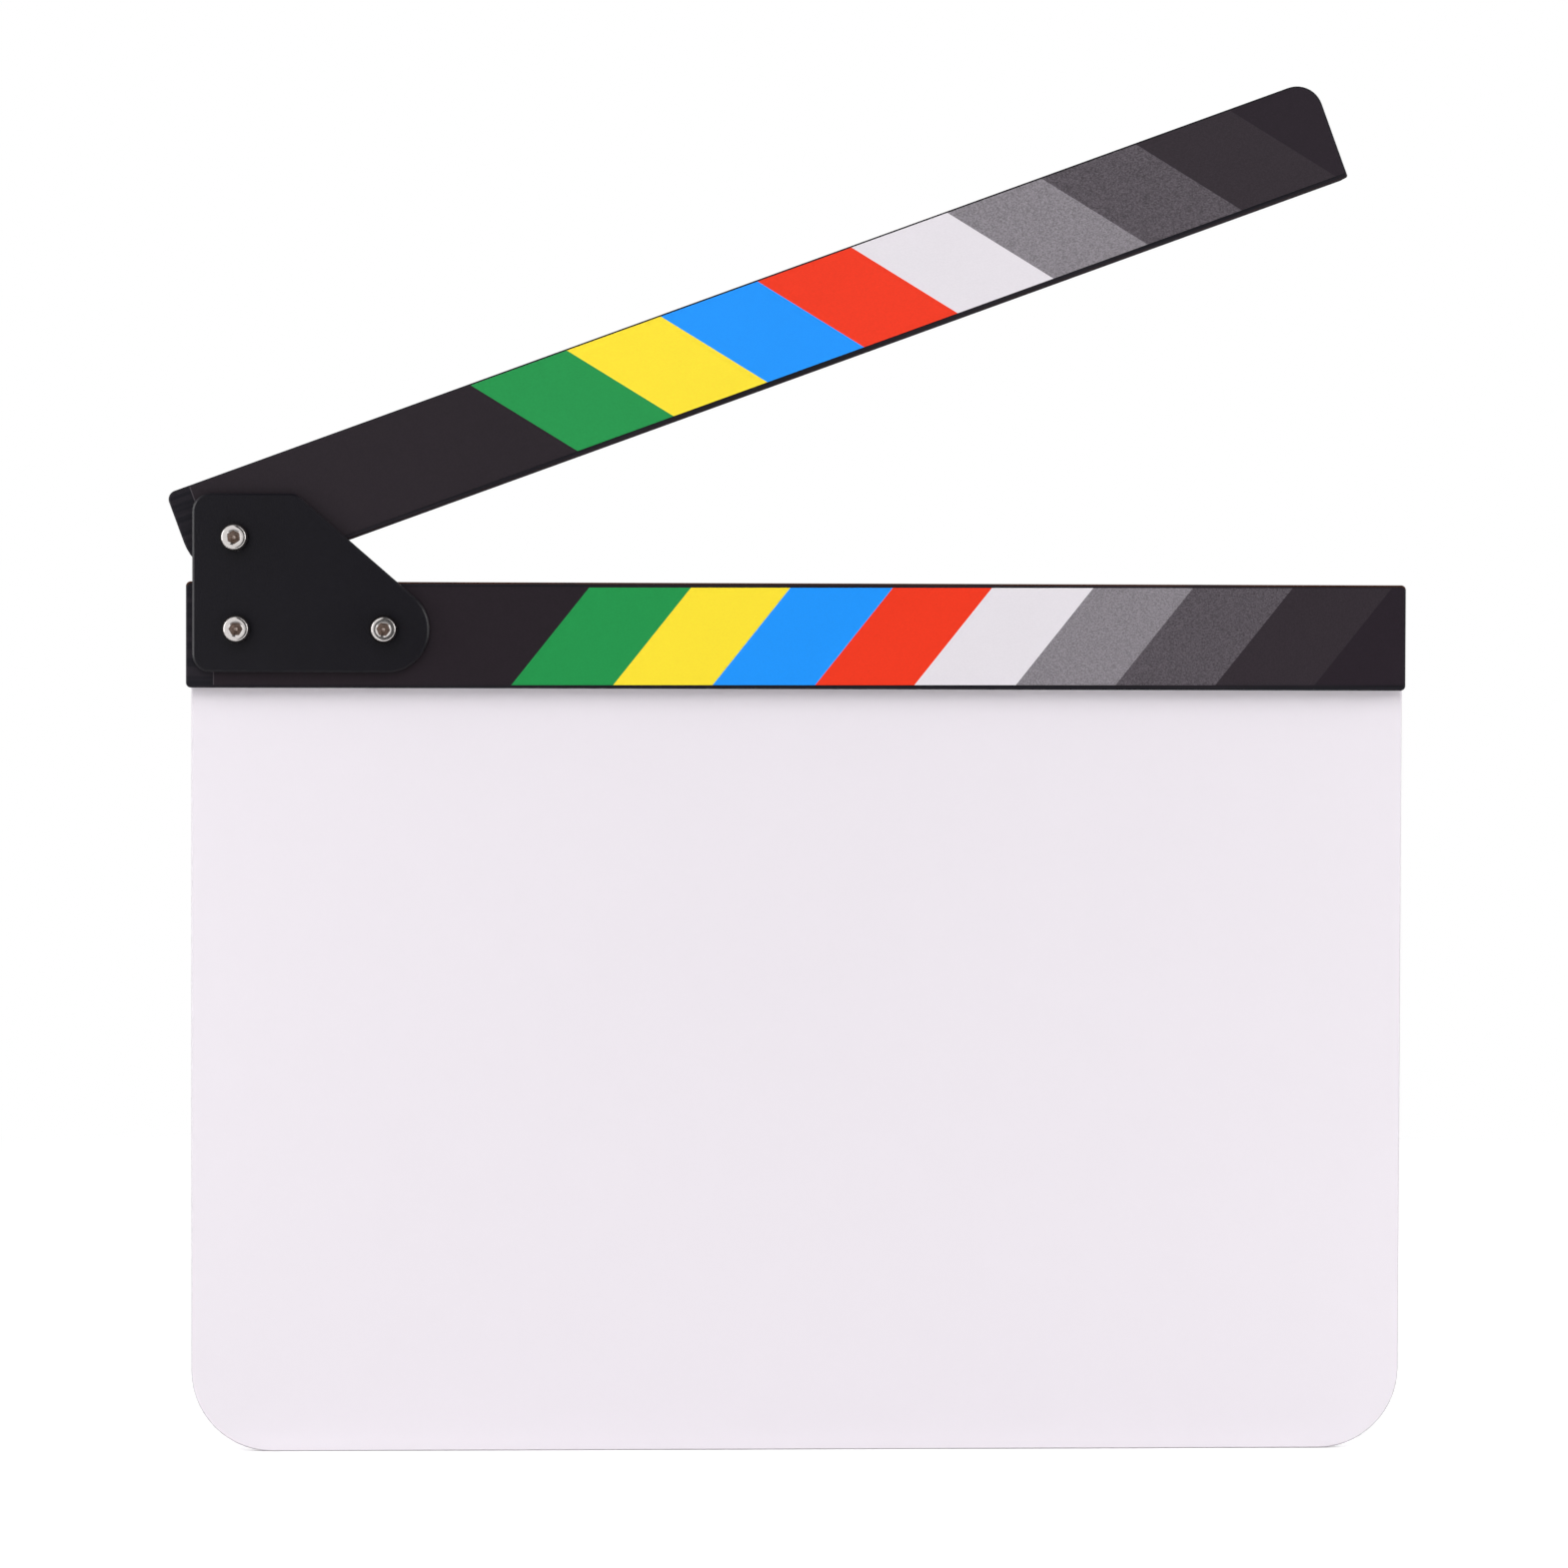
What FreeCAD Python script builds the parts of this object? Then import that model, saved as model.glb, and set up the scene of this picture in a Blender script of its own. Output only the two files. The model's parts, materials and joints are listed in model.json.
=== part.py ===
import FreeCAD, Part
import math
import os

# Clapperboard: a white writing board hung from a striped stick, with a second striped stick hinged above it.
# Lengths are in millimetres, angles in degrees. X runs to the right, Y from front to back, Z up.
# The origin is on the board's bottom edge, below the middle of the lower stick, halfway through the board.

# Writing board
board_left_inset = 1.1
board_right_inset = 0.3
board_thickness = 3.0
board_shown_height = 188.0
board_corner_radius = 20.0
board_edge_ease = 0.3

# Sticks
lower_stick_length = 300.0
upper_stick_length = 299.5
stick_thickness = 10.0
stick_edge_ease = 0.4
lower_stick_height = 26.0
lower_stick_corner_radius = 1.2
upper_stick_height = 25.6
upper_stick_heel_radius = 13.0
upper_stick_back_radius = 2.2
upper_stick_nose_radius = 6.5
upper_stick_tip_radius = 0.6

# Slot under the lower stick, which takes the board's top edge
slot_roof = 6.0
slot_side_clearance = 0.1

# Hinge layout
open_angle = 20.15
hinge_from_end = 11.9
pivot_above_upper_edge = 9.85
stick_gap = 0.85
upper_stick_overhang = 0.2
clamp_drop = 11.65
clamp_inset = 0.5
clamp_spacing = 35.9
hinge_end_play = 0.05
hinge_running_clearance = 0.05

# Printed strips on the fronts of the sticks
label_thickness = 0.2
label_tip_margin = 0.5
lower_label_from_end = 6.6
lower_label_top_margin = 0.9
lower_label_bottom_margin = 1.0
lower_label_tilt = 0.14
upper_label_from_end = 5.9
upper_label_top_margin = 0.4
upper_label_bottom_margin = 1.2

# Hinge plate
plate_thickness = 2.0
plate_side_margin = 10.25
plate_top_margin = 10.75
plate_corner_radius = 4.4
plate_shoulder_reach = 14.9
plate_shoulder_radius = 3.0
plate_nose_radius = 10.5
plate_nose_offset = 0.65
plate_edge_ease = 0.5

# Socket cap screws, all of one size
screw_diameter = 4.0
screw_past_nut = 0.9
screw_head_overhang = 1.5
screw_head_height = 4.0
screw_head_chamfer = 0.4
screw_tip_chamfer = 0.5
screw_hole_clearance = 0.15
pivot_screw_turn = 35.0
lower_left_screw_turn = 0.0
lower_right_screw_turn = -8.0
socket_width = 3.0
socket_depth = 2.0
socket_mouth_chamfer = 0.3
socket_floor_angle = 30.0

# Washers
washer_rim_width = 2.35
washer_thickness = 0.8
friction_washer_rim_width = 2.85
friction_washer_thickness = 0.5

# Pivot bush, pressed into the upper stick
bush_wall = 1.0
bush_seat_clearance = 0.02

# Lock nuts with a nylon ring in the collar; threads are not cut
nut_wall = 1.48
nut_hex_height = 3.2
nut_collar_height = 1.8
nut_collar_wall = 0.5
nut_corner_angle = 30.0
insert_wall = 0.6
insert_height = 1.2
insert_recess = 0.3
insert_clearance = 0.03
thread_clearance = 0.02

# Length by which every cutter runs past the face that it cuts
cut_overrun = 1.0

# Largest chamfer on a flat piece's rims, as a share of its thickness
ease_limit_share = 0.4

# Places that follow from the sizes above, front to back
lower_stick_front = -stick_thickness / 2
lower_stick_back = stick_thickness / 2
plate_back = lower_stick_front - label_thickness
plate_front = plate_back - plate_thickness
upper_label_front = plate_back + friction_washer_thickness + hinge_end_play
upper_stick_front = upper_label_front + label_thickness
upper_stick_back = upper_stick_front + stick_thickness
rear_friction_washer_front = upper_stick_back + hinge_end_play
pivot_washer_front = rear_friction_washer_front + friction_washer_thickness
pivot_nut_front = pivot_washer_front + washer_thickness

# Places that follow from the sizes above, seen from the front
lower_stick_top = board_shown_height + lower_stick_height
board_top = lower_stick_top - slot_roof
hinge_x = hinge_from_end - lower_stick_length / 2
clamp_z = lower_stick_top - clamp_drop
clamp_left_x = hinge_x + clamp_inset
clamp_right_x = clamp_left_x + clamp_spacing
upper_stick_left = hinge_x - hinge_from_end - upper_stick_overhang
upper_stick_bottom = lower_stick_top + stick_gap
upper_stick_top = upper_stick_bottom + upper_stick_height
pivot_z = upper_stick_bottom + pivot_above_upper_edge

# Sizes of the fasteners that follow from the screw
screw_hole_radius = screw_diameter / 2 + screw_hole_clearance
bush_bore_radius = screw_diameter / 2 + hinge_running_clearance
bush_radius = bush_bore_radius + bush_wall
bush_seat_radius = bush_radius + bush_seat_clearance
nut_bore_radius = screw_diameter / 2 + thread_clearance
nut_width = 2 * (nut_bore_radius + nut_wall)
insert_radius = nut_bore_radius + insert_wall
nut_height = nut_hex_height + nut_collar_height
insert_front = nut_height - insert_recess - insert_height
screw_length = pivot_nut_front + nut_height + screw_past_nut - plate_front

FRONT_TO_BACK = FreeCAD.Vector(0, 1, 0)


def spot(x, y, z):
    return FreeCAD.Vector(x, y, z)


def rounded_outline(corners, y):
    """Face at depth y inside a ring of corners, each given as x, z and the radius that rounds it, if any."""
    starts = []
    middles = []
    ends = []
    for index, (x, z, radius) in enumerate(corners):
        corner = spot(x, y, z)
        before_x, before_z, _ = corners[index - 1]
        after_x, after_z, _ = corners[(index + 1) % len(corners)]
        to_before = (spot(before_x, y, before_z) - corner).normalize()
        to_after = (spot(after_x, y, after_z) - corner).normalize()
        half_angle = to_before.getAngle(to_after) / 2
        inward = (to_before + to_after).normalize()
        tangent = radius / math.tan(half_angle)
        starts.append(corner + to_before * tangent)
        ends.append(corner + to_after * tangent)
        middles.append(corner + inward * (radius / math.sin(half_angle) - radius))
    edges = []
    for index, start in enumerate(starts):
        edges.append(Part.LineSegment(ends[index - 1], start).toShape())
        if corners[index][2]:
            edges.append(Part.Arc(start, middles[index], ends[index]).toShape())
    return Part.Face(Part.Wire(edges))


def slab(corners, front, thickness):
    """Flat piece with a rounded outline, from its front face backwards."""
    return rounded_outline(corners, front).extrude(FRONT_TO_BACK * thickness)


def eased(solid, width):
    """Break the rims of the front and back faces with a flat chamfer, as far as the thickness allows."""
    rims = [edge for edge in solid.Edges if math.isclose(edge.Vertexes[0].Y, edge.Vertexes[-1].Y)]
    return solid.makeChamfer(min(width, ease_limit_share * solid.BoundBox.YLength), rims)


def drill(solid, x, z, radius):
    """Round hole from front to back, right through the piece."""
    box = solid.BoundBox
    start = spot(x, box.YMin - cut_overrun, z)
    length = box.YLength + 2 * cut_overrun
    return solid.cut(Part.makeCylinder(radius, length, start, FRONT_TO_BACK))


def turned(profile):
    """Solid of revolution about the Y axis from a closed ring of radius and depth points."""
    ring = [spot(radius, depth, 0) for radius, depth in profile]
    face = Part.Face(Part.makePolygon(ring + ring[:1]))
    return face.revolve(spot(0, 0, 0), FRONT_TO_BACK, 360)


def hexagon(width, front, length):
    """Six-sided bar along Y, given by its width across flats."""
    radius = width / 2 / math.cos(math.pi / 6)
    angles = [math.radians(60 * step) for step in range(6)]
    ring = [spot(radius * math.cos(angle), front, radius * math.sin(angle)) for angle in angles]
    return Part.Face(Part.makePolygon(ring + ring[:1])).extrude(FRONT_TO_BACK * length)


def opened(shape):
    """Turn a piece of the upper stick from level to its resting angle about the pivot."""
    return shape.rotated(spot(hinge_x, 0, pivot_z), -FRONT_TO_BACK, open_angle)


def slate_board():
    left = board_left_inset - lower_stick_length / 2
    right = lower_stick_length / 2 - board_right_inset
    corners = [
        (left, 0, board_corner_radius),
        (right, 0, board_corner_radius),
        (right, board_top, 0),
        (left, board_top, 0),
    ]
    board = eased(slab(corners, -board_thickness / 2, board_thickness), board_edge_ease)
    for x in (clamp_left_x, clamp_right_x):
        board = drill(board, x, clamp_z, screw_hole_radius)
    return board


def lower_stick():
    right = lower_stick_length / 2
    corners = [
        (-right, board_shown_height, lower_stick_corner_radius),
        (right, board_shown_height, lower_stick_corner_radius),
        (right, lower_stick_top, lower_stick_corner_radius),
        (-right, lower_stick_top, lower_stick_corner_radius),
    ]
    stick = eased(slab(corners, lower_stick_front, stick_thickness), stick_edge_ease)
    slot_width = board_thickness + 2 * slot_side_clearance
    slot_length = lower_stick_length + 2 * cut_overrun
    slot_mouth = board_shown_height - cut_overrun
    slot_corner = spot(-slot_length / 2, -slot_width / 2, slot_mouth)
    stick = stick.cut(Part.makeBox(slot_length, slot_width, board_top - slot_mouth, slot_corner))
    for x in (clamp_left_x, clamp_right_x):
        stick = drill(stick, x, clamp_z, screw_hole_radius)
    return stick


def upper_stick():
    right = upper_stick_left + upper_stick_length
    corners = [
        (upper_stick_left, upper_stick_bottom, upper_stick_heel_radius),
        (right, upper_stick_bottom, upper_stick_tip_radius),
        (right, upper_stick_top, upper_stick_nose_radius),
        (upper_stick_left, upper_stick_top, upper_stick_back_radius),
    ]
    stick = eased(slab(corners, upper_stick_front, stick_thickness), stick_edge_ease)
    return opened(drill(stick, hinge_x, pivot_z, bush_seat_radius))


def lower_stripe_label():
    left = lower_label_from_end - lower_stick_length / 2
    right = lower_stick_length / 2 - label_tip_margin
    top = lower_stick_top - lower_label_top_margin
    bottom = board_shown_height + lower_label_bottom_margin
    corners = [
        (left, bottom, 0),
        (right, bottom, 0),
        (right, top, 0),
        (left, top, 0),
    ]
    label = slab(corners, plate_back, label_thickness)
    centre = spot((left + right) / 2, 0, (top + bottom) / 2)
    label = label.rotated(centre, -FRONT_TO_BACK, lower_label_tilt)
    for x in (clamp_left_x, clamp_right_x):
        label = drill(label, x, clamp_z, screw_hole_radius)
    return label


def upper_stripe_label():
    """Strip that keeps a margin inside the stick's outline and stops short of its heel end."""
    left = upper_stick_left + label_tip_margin
    right = upper_stick_left + upper_stick_length - label_tip_margin
    top = upper_stick_top - upper_label_top_margin
    bottom = upper_stick_bottom + upper_label_bottom_margin
    corners = [
        (left, bottom, upper_stick_heel_radius - label_tip_margin),
        (right, bottom, 0),
        (right, top, upper_stick_nose_radius - label_tip_margin),
        (left, top, 0),
    ]
    label = slab(corners, upper_label_front, label_thickness)
    trim = Part.makeBox(
        upper_label_from_end + cut_overrun,
        label_thickness + 2 * cut_overrun,
        top - bottom + 2 * cut_overrun,
        spot(upper_stick_left - cut_overrun, upper_label_front - cut_overrun, bottom - cut_overrun),
    )
    return opened(drill(label.cut(trim), hinge_x, pivot_z, bush_seat_radius))


def hinge_plate():
    left = hinge_x - plate_side_margin
    top = pivot_z + plate_top_margin
    bottom = clamp_z - plate_nose_radius
    shoulder_x = hinge_x + plate_shoulder_reach
    nose_x = clamp_right_x + plate_nose_offset
    # The sloping edge leaves the shoulder at the angle at which it just meets the nose's circle
    across = nose_x - shoulder_x
    down = top - clamp_z
    slope = math.atan2(down, across) - math.asin(plate_nose_radius / math.hypot(across, down))
    tip_x = shoulder_x + (top - bottom) / math.tan(slope)
    corners = [
        (left, bottom, plate_corner_radius),
        (tip_x, bottom, plate_nose_radius),
        (shoulder_x, top, plate_shoulder_radius),
        (left, top, plate_corner_radius),
    ]
    plate = eased(slab(corners, plate_front, plate_thickness), plate_edge_ease)
    for x, z in ((hinge_x, pivot_z), (clamp_left_x, clamp_z), (clamp_right_x, clamp_z)):
        plate = drill(plate, x, z, screw_hole_radius)
    return plate


def screw():
    """Socket cap screw with the underside of its head at depth zero."""
    shank = screw_diameter / 2
    head = shank + screw_head_overhang
    blank = turned([
        (0, -screw_head_height),
        (head - screw_head_chamfer, -screw_head_height),
        (head, screw_head_chamfer - screw_head_height),
        (head, 0),
        (shank, 0),
        (shank, screw_length - screw_tip_chamfer),
        (shank - screw_tip_chamfer, screw_length),
        (0, screw_length),
    ])
    corner = socket_width / 2 / math.cos(math.pi / 6)
    mouth = corner + socket_mouth_chamfer
    above = -screw_head_height - cut_overrun
    floor = socket_depth - screw_head_height
    floor_point = floor + corner * math.tan(math.radians(socket_floor_angle))
    recess = hexagon(socket_width, above, floor_point - above).common(turned([
        (0, above),
        (corner, above),
        (corner, floor),
        (0, floor_point),
    ]))
    chamfer = turned([
        (0, above),
        (mouth + cut_overrun, above),
        (0, mouth - screw_head_height),
    ])
    return blank.cut(recess).cut(chamfer)


def ring(outer, inner, thickness):
    """Flat washer with its front face at depth zero."""
    return turned([(inner, 0), (outer, 0), (outer, thickness), (inner, thickness)])


def nut():
    """Lock nut with its bearing face at depth zero and its collar to the back."""
    flat = nut_width / 2
    corner = flat / math.cos(math.pi / 6)
    bevel = (corner - flat) * math.tan(math.radians(nut_corner_angle))
    pocket = insert_radius + insert_clearance
    hexagonal = hexagon(nut_width, 0, nut_hex_height).common(turned([
        (0, 0),
        (corner, 0),
        (corner, nut_hex_height - bevel),
        (flat, nut_hex_height),
        (0, nut_hex_height),
    ]))
    collar_foot = spot(0, nut_hex_height, 0)
    collar = Part.makeCylinder(pocket + nut_collar_wall, nut_collar_height, collar_foot, FRONT_TO_BACK)
    hollow = turned([
        (0, -cut_overrun),
        (nut_bore_radius, -cut_overrun),
        (nut_bore_radius, insert_front),
        (pocket, insert_front),
        (pocket, nut_height + cut_overrun),
        (0, nut_height + cut_overrun),
    ])
    return hexagonal.fuse(collar).removeSplitter().cut(hollow)


def nut_insert():
    """Nylon ring in the nut's collar, set at the depth that it has in the nut."""
    return ring(insert_radius, nut_bore_radius, insert_height).translated(FRONT_TO_BACK * insert_front)


def pivot_bush():
    bush = ring(bush_radius, bush_bore_radius, stick_thickness)
    return bush.translated(spot(hinge_x, upper_stick_front, pivot_z))


def tightened(shape, turn):
    """Turn a screw or nut about its own axis to the angle at which it was left."""
    return shape.rotated(spot(0, 0, 0), -FRONT_TO_BACK, turn)


def fasteners():
    """Screw, washer, nut and nut ring at each of the three holes."""
    places = {
        "pivot": (hinge_x, pivot_z, pivot_washer_front, pivot_screw_turn),
        "lower_left": (clamp_left_x, clamp_z, lower_stick_back, lower_left_screw_turn),
        "lower_right": (clamp_right_x, clamp_z, lower_stick_back, lower_right_screw_turn),
    }
    washer = ring(screw_hole_radius + washer_rim_width, screw_hole_radius, washer_thickness)
    pieces = {}
    for name, (x, z, washer_front, turn) in places.items():
        nut_front = spot(x, washer_front + washer_thickness, z)
        pieces[name + "_screw"] = tightened(screw(), turn).translated(spot(x, plate_front, z))
        pieces[name + "_washer"] = washer.translated(spot(x, washer_front, z))
        pieces[name + "_nut"] = tightened(nut(), turn).translated(nut_front)
        pieces[name + "_nut_insert"] = nut_insert().translated(nut_front)
    return pieces


def friction_washers():
    """Nylon washers in front of and behind the upper stick."""
    outer = screw_hole_radius + friction_washer_rim_width
    washer = ring(outer, screw_hole_radius, friction_washer_thickness)
    return {
        "front_friction_washer": washer.translated(spot(hinge_x, plate_back, pivot_z)),
        "rear_friction_washer": washer.translated(spot(hinge_x, rear_friction_washer_front, pivot_z)),
    }


os.makedirs("parts", exist_ok=True)
pieces = {
    "slate_board": slate_board(),
    "lower_stick": lower_stick(),
    "upper_stick": upper_stick(),
    "lower_stripe_label": lower_stripe_label(),
    "upper_stripe_label": upper_stripe_label(),
    "hinge_plate": hinge_plate(),
    "pivot_bush": pivot_bush(),
}
pieces.update(friction_washers())
pieces.update(fasteners())
for name, shape in pieces.items():
    shape.exportStep(os.path.join("parts", name + ".step"))
    print(name, "solids", len(shape.Solids), "valid", shape.isValid(), "volume", round(shape.Volume, 2))
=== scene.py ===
import json
import math
from collections import namedtuple
import bpy
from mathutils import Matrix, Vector


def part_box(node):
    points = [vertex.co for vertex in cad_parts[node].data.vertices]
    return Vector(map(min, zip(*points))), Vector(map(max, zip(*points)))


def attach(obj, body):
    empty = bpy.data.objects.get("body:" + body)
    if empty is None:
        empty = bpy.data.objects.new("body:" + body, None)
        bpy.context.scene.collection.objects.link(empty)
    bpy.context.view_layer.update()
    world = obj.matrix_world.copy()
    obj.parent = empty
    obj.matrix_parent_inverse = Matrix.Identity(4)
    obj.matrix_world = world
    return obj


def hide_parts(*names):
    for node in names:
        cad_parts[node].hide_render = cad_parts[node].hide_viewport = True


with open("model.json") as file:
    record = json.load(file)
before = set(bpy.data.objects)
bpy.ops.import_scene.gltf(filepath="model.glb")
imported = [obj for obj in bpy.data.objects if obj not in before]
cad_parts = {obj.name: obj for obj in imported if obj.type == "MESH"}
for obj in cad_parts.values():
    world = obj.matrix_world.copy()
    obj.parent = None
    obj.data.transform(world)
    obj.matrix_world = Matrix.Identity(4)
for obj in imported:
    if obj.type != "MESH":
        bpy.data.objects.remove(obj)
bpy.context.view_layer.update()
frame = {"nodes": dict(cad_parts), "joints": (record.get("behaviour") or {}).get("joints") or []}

# Clapperboard: white acrylic slate, two black sticks with printed stripes, a coated hinge plate and screws.
# Lengths are in metres. The board faces along -Y, with its bottom edge on the floor at z = 0.


def srgb(red, green, blue):
    """Linear colour from the 0 to 255 values of a colour chart, by the standard sRGB curve."""
    shares = [value / 255 for value in (red, green, blue)]
    return [s / 12.92 if s <= 0.04045 else ((s + 0.055) / 1.055) ** 2.4 for s in shares] + [1.0]


def strip_end(node, tilt):
    """Place of a printed strip's cut end at the hinge, measured along its stick from the hinge."""
    along = Vector((math.cos(tilt), 0, math.sin(tilt)))
    return min((point.co - hinge).dot(along) for point in frame["nodes"][node].data.vertices)


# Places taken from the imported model
hinge = Vector(frame["joints"][0]["pos_m"])
label_low, label_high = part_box("lower_stripe_label")
lower_stick_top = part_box("lower_stick")[1].z
lower_label_middle = (label_low.z + label_high.z) / 2
plate_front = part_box("hinge_plate")[0].y
screw_low, screw_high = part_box("pivot_screw")
screw_head_radius = (screw_high.x - screw_low.x) / 2

# Upper stick, measured square to its own length and from the hinge
clapper_open = math.radians(20.15)
upper_stick_below_hinge = 0.00985

# Middles of the two prints, measured up from the hinge and square to each stick
lower_print_middle = lower_label_middle - hinge.z
upper_print_middle = 0.00335

# Colours of the finishes
board_white = srgb(243, 237, 244)
# Grey of the sawn edge, partly painted shade on the board's edges
board_sawn_edge_shade = srgb(204, 198, 204)
paint_black = srgb(33, 32, 37)
paint_on_fibres = srgb(44, 41, 46)
paint_rubbed_thin = srgb(44, 40, 43)
# Brown of bared wood, which is also a painted highlight on the lower stick's top edge
clap_wood_and_edge_highlight = srgb(72, 46, 37)
# Light grey at each strip's cut end: the vinyl's pale cut edge together with a painted highlight
strip_end_edge_and_highlight = srgb(73, 68, 73)
print_haze = srgb(236, 234, 238)
plate_black = srgb(15, 13, 20)
plate_rubbed = srgb(52, 50, 55)
# Painted shade and dark reflection on each head's knurled side and outer rounding, in place of metal
screw_bright = srgb(214, 209, 207)
screw_band_painted_shade = srgb(24, 22, 23)
film_on_floor = srgb(212, 197, 188)
# The film on the socket walls is darker than on the floor: painted shade
film_wall_painted_shade = srgb(146, 129, 120)
washer_zinc = srgb(158, 158, 163)
nut_zinc = srgb(205, 204, 203)
bush_yellow = srgb(201, 168, 96)
nylon_milky = srgb(226, 222, 209)
floor_grey = (0.9, 0.9, 0.9, 1.0)
full_white = (1.0, 1.0, 1.0, 1.0)
full_black = (0.0, 0.0, 0.0, 1.0)

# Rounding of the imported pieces' edges
soft_edges = {
    "slate_board": 0.0001,
    "lower_stick": 0.00025,
    "upper_stick": 0.00025,
    "hinge_plate": 0.0001,
}
fastener_soft_edge = 0.00012
sharp_edge_from = math.radians(25)
weld_distance = 0.000001

# Faces that turn away from the front, by the share of their normal that still runs along Y
side_facing = 0.3
eased_facing = 0.95
facing_fade = 0.1

# Board: wiping marks along it and saw marks on its edge
wipe_stretch = (1.0, 1.0, 3.0)
saw_stretch = (700.0, 9000.0, 700.0)
sawn_roughness = 0.3
ripple_share = 0.1

# Sticks: fibres along the wood, sides painted without a rub down, and brown on the edges that clap, worn
# wood that also paints in the highlight along the lower stick's upward edge
fibre_stretch = (18.0, 900.0, 900.0)
side_roughness = 0.95
clap_wear_ends = 0.0012
clap_wear_full = 0.0006
clap_patch_size = 0.02
# The brown is full on the lower stick's upward-facing clap edge and faint on the upper stick's
# downward-facing one: a painted highlight on top of the wear
lower_clap = {"clap_face": lower_stick_top - hinge.z, "clap_side": 1.0, "clap_wear": 1.0}
upper_clap = {"clap_face": -upper_stick_below_hinge, "clap_side": -1.0, "clap_wear": 0.15}

# Patterns: the middle of a random pattern, how strongly it shows, and the wander of turned tool marks
noise_middle = 0.5
drift_contrast = 2.0
dot_contrast = 4.0
patch_fade = 0.12
tool_wander_size = 0.002
tool_wander_turns = 0.3

# Top edge of the stripes on each strip: the lower strip is stuck on with a slight rise to the right
lower_label_rise = math.tan(math.radians(0.14))
lower_label_border = 0.0002
lower_label_reach = (label_high.x - hinge.x) * lower_label_rise
lower_stripes_top = label_high.z - lower_label_middle - lower_label_reach - lower_label_border
upper_stripes_top = 0.0125

# Stripes of the two printed strips, the same on both but leaning opposite ways
lower_stripes = {
    "lean": 1.0,
    "start": 0.07730,
    "stretch": 0.9969,
    "light": 1.0,
    "haze": 0.0,
    "top": lower_stripes_top,
    "rise": lower_label_rise,
    "end": strip_end("lower_stripe_label", 0.0),
}
upper_stripes = {
    "lean": -1.0,
    "start": 0.07645,
    "stretch": 1.0021,
    "light": 1.02,
    "haze": 0.006,
    "top": upper_stripes_top,
    "rise": 0.0,
    "end": strip_end("upper_stripe_label", clapper_open),
}
stripe_lean = 0.795
stripe_speckle_size = 0.00032
stripe_bleed = 0.00003
strip_cut_width = 0.00026

# Each stripe's width, colour and how much the print's dots show; the black fields run on to the ends
Stripe = namedtuple("Stripe", "name width colour dots")
to_the_end = math.inf
stripes = (
    Stripe("black", to_the_end, srgb(35, 28, 34), 0.10),
    Stripe("green", 0.02499, srgb(33, 148, 75), 0.05),
    Stripe("yellow", 0.02442, srgb(255, 229, 53), 0.03),
    Stripe("blue", 0.02525, srgb(29, 151, 255), 0.03),
    Stripe("red", 0.02446, srgb(243, 57, 29), 0.04),
    Stripe("white", 0.02503, srgb(232, 227, 233), 0.02),
    Stripe("light grey", 0.02465, srgb(135, 130, 136), 0.34),
    Stripe("mid grey", 0.02469, srgb(86, 80, 86), 0.50),
    Stripe("dark grey", 0.02461, srgb(48, 41, 47), 0.16),
    Stripe("soft black", to_the_end, srgb(36, 28, 36), 0.10),
)

# Socket cap screws
screw_shank_radius = 0.0020
screw_thread_pitch = 0.0007
screw_thread_depth = 0.00038
screw_thread_length = 0.0042
screw_thread_root_share = 0.15
screw_thread_flank_share = 0.7
screw_tip_chamfer = 0.0005
screw_head_height = 0.0040
screw_head_rounding = 0.00026
screw_band_width = 0.00056
screw_crown_radius = screw_head_radius - screw_band_width
screw_fall_width = 0.00027
screw_fall_angle = math.radians(5)
screw_flat_margin = 0.00004
screw_knurl_depth = 0.00009
screw_knurl_margin = 0.00025
socket_width = 0.0030
socket_depth = 0.0020
socket_mouth = 0.0002
socket_mouth_angle = math.radians(30)
socket_floor_angle = math.radians(30)
socket_corner_radius = socket_width / 2 / math.cos(math.pi / 6)
socket_mouth_radius = socket_corner_radius + socket_mouth
socket_turns = {"pivot_screw": 35.0, "lower_left_screw": 0.0, "lower_right_screw": -8.0}
screw_segments = 84
screw_sharp_edge = math.radians(22)
rings_per_thread = 8
rounding_steps = 5
floor_ring_parts = 3

# Browned film in the sockets, its walls darker as painted shade, and a black band round the heads, painted
# shade and dark reflection of the knurled side: where they start and where they are full
film_end_radius = 0.00185
film_full_radius = 0.00175
film_start_depth = 0.00004
film_full_depth = 0.00012
film_floor_radius = 0.0003
film_wall_radius = 0.0013
film_roughness = 0.25
band_fade = 0.00006
band_start_above = 0.00014
band_full_above = 0.00004
head_foot_fade = 0.0001

# Camera, at the height and angle of the photograph
camera_place = (-0.06661, -1.4000, 0.20234)
camera_pitch = math.radians(-1.5445)
camera_roll = math.radians(-0.175)
camera_yaw = math.radians(2.5844)
camera_lens = 130.50
camera_sensor = 36.0

# Studio floor and even light
floor_reach = 6.0
floor_roughness = 0.9
floor_lift = 0.25
floor_white_from = 0.45
floor_white_to = 0.90
ambient_light = 0.37

# Dark cards that only reflections see: name, line in Y and Z, left end, right end and glow
flag_reach = 0.9
dark_cards = (
    ("dark_gap", ((-0.86, -0.30), (-0.86, 1.10), (-0.40, 1.60)), -0.152, 0.310, 0.10),
    ("upper_flag", ((-0.40, 1.60), (0.40, 1.60)), -flag_reach, flag_reach, 0.2),
    ("lower_flag", ((-0.20, 0.003), (-0.01, 0.003)), -flag_reach, flag_reach, 0.4),
)

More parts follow.
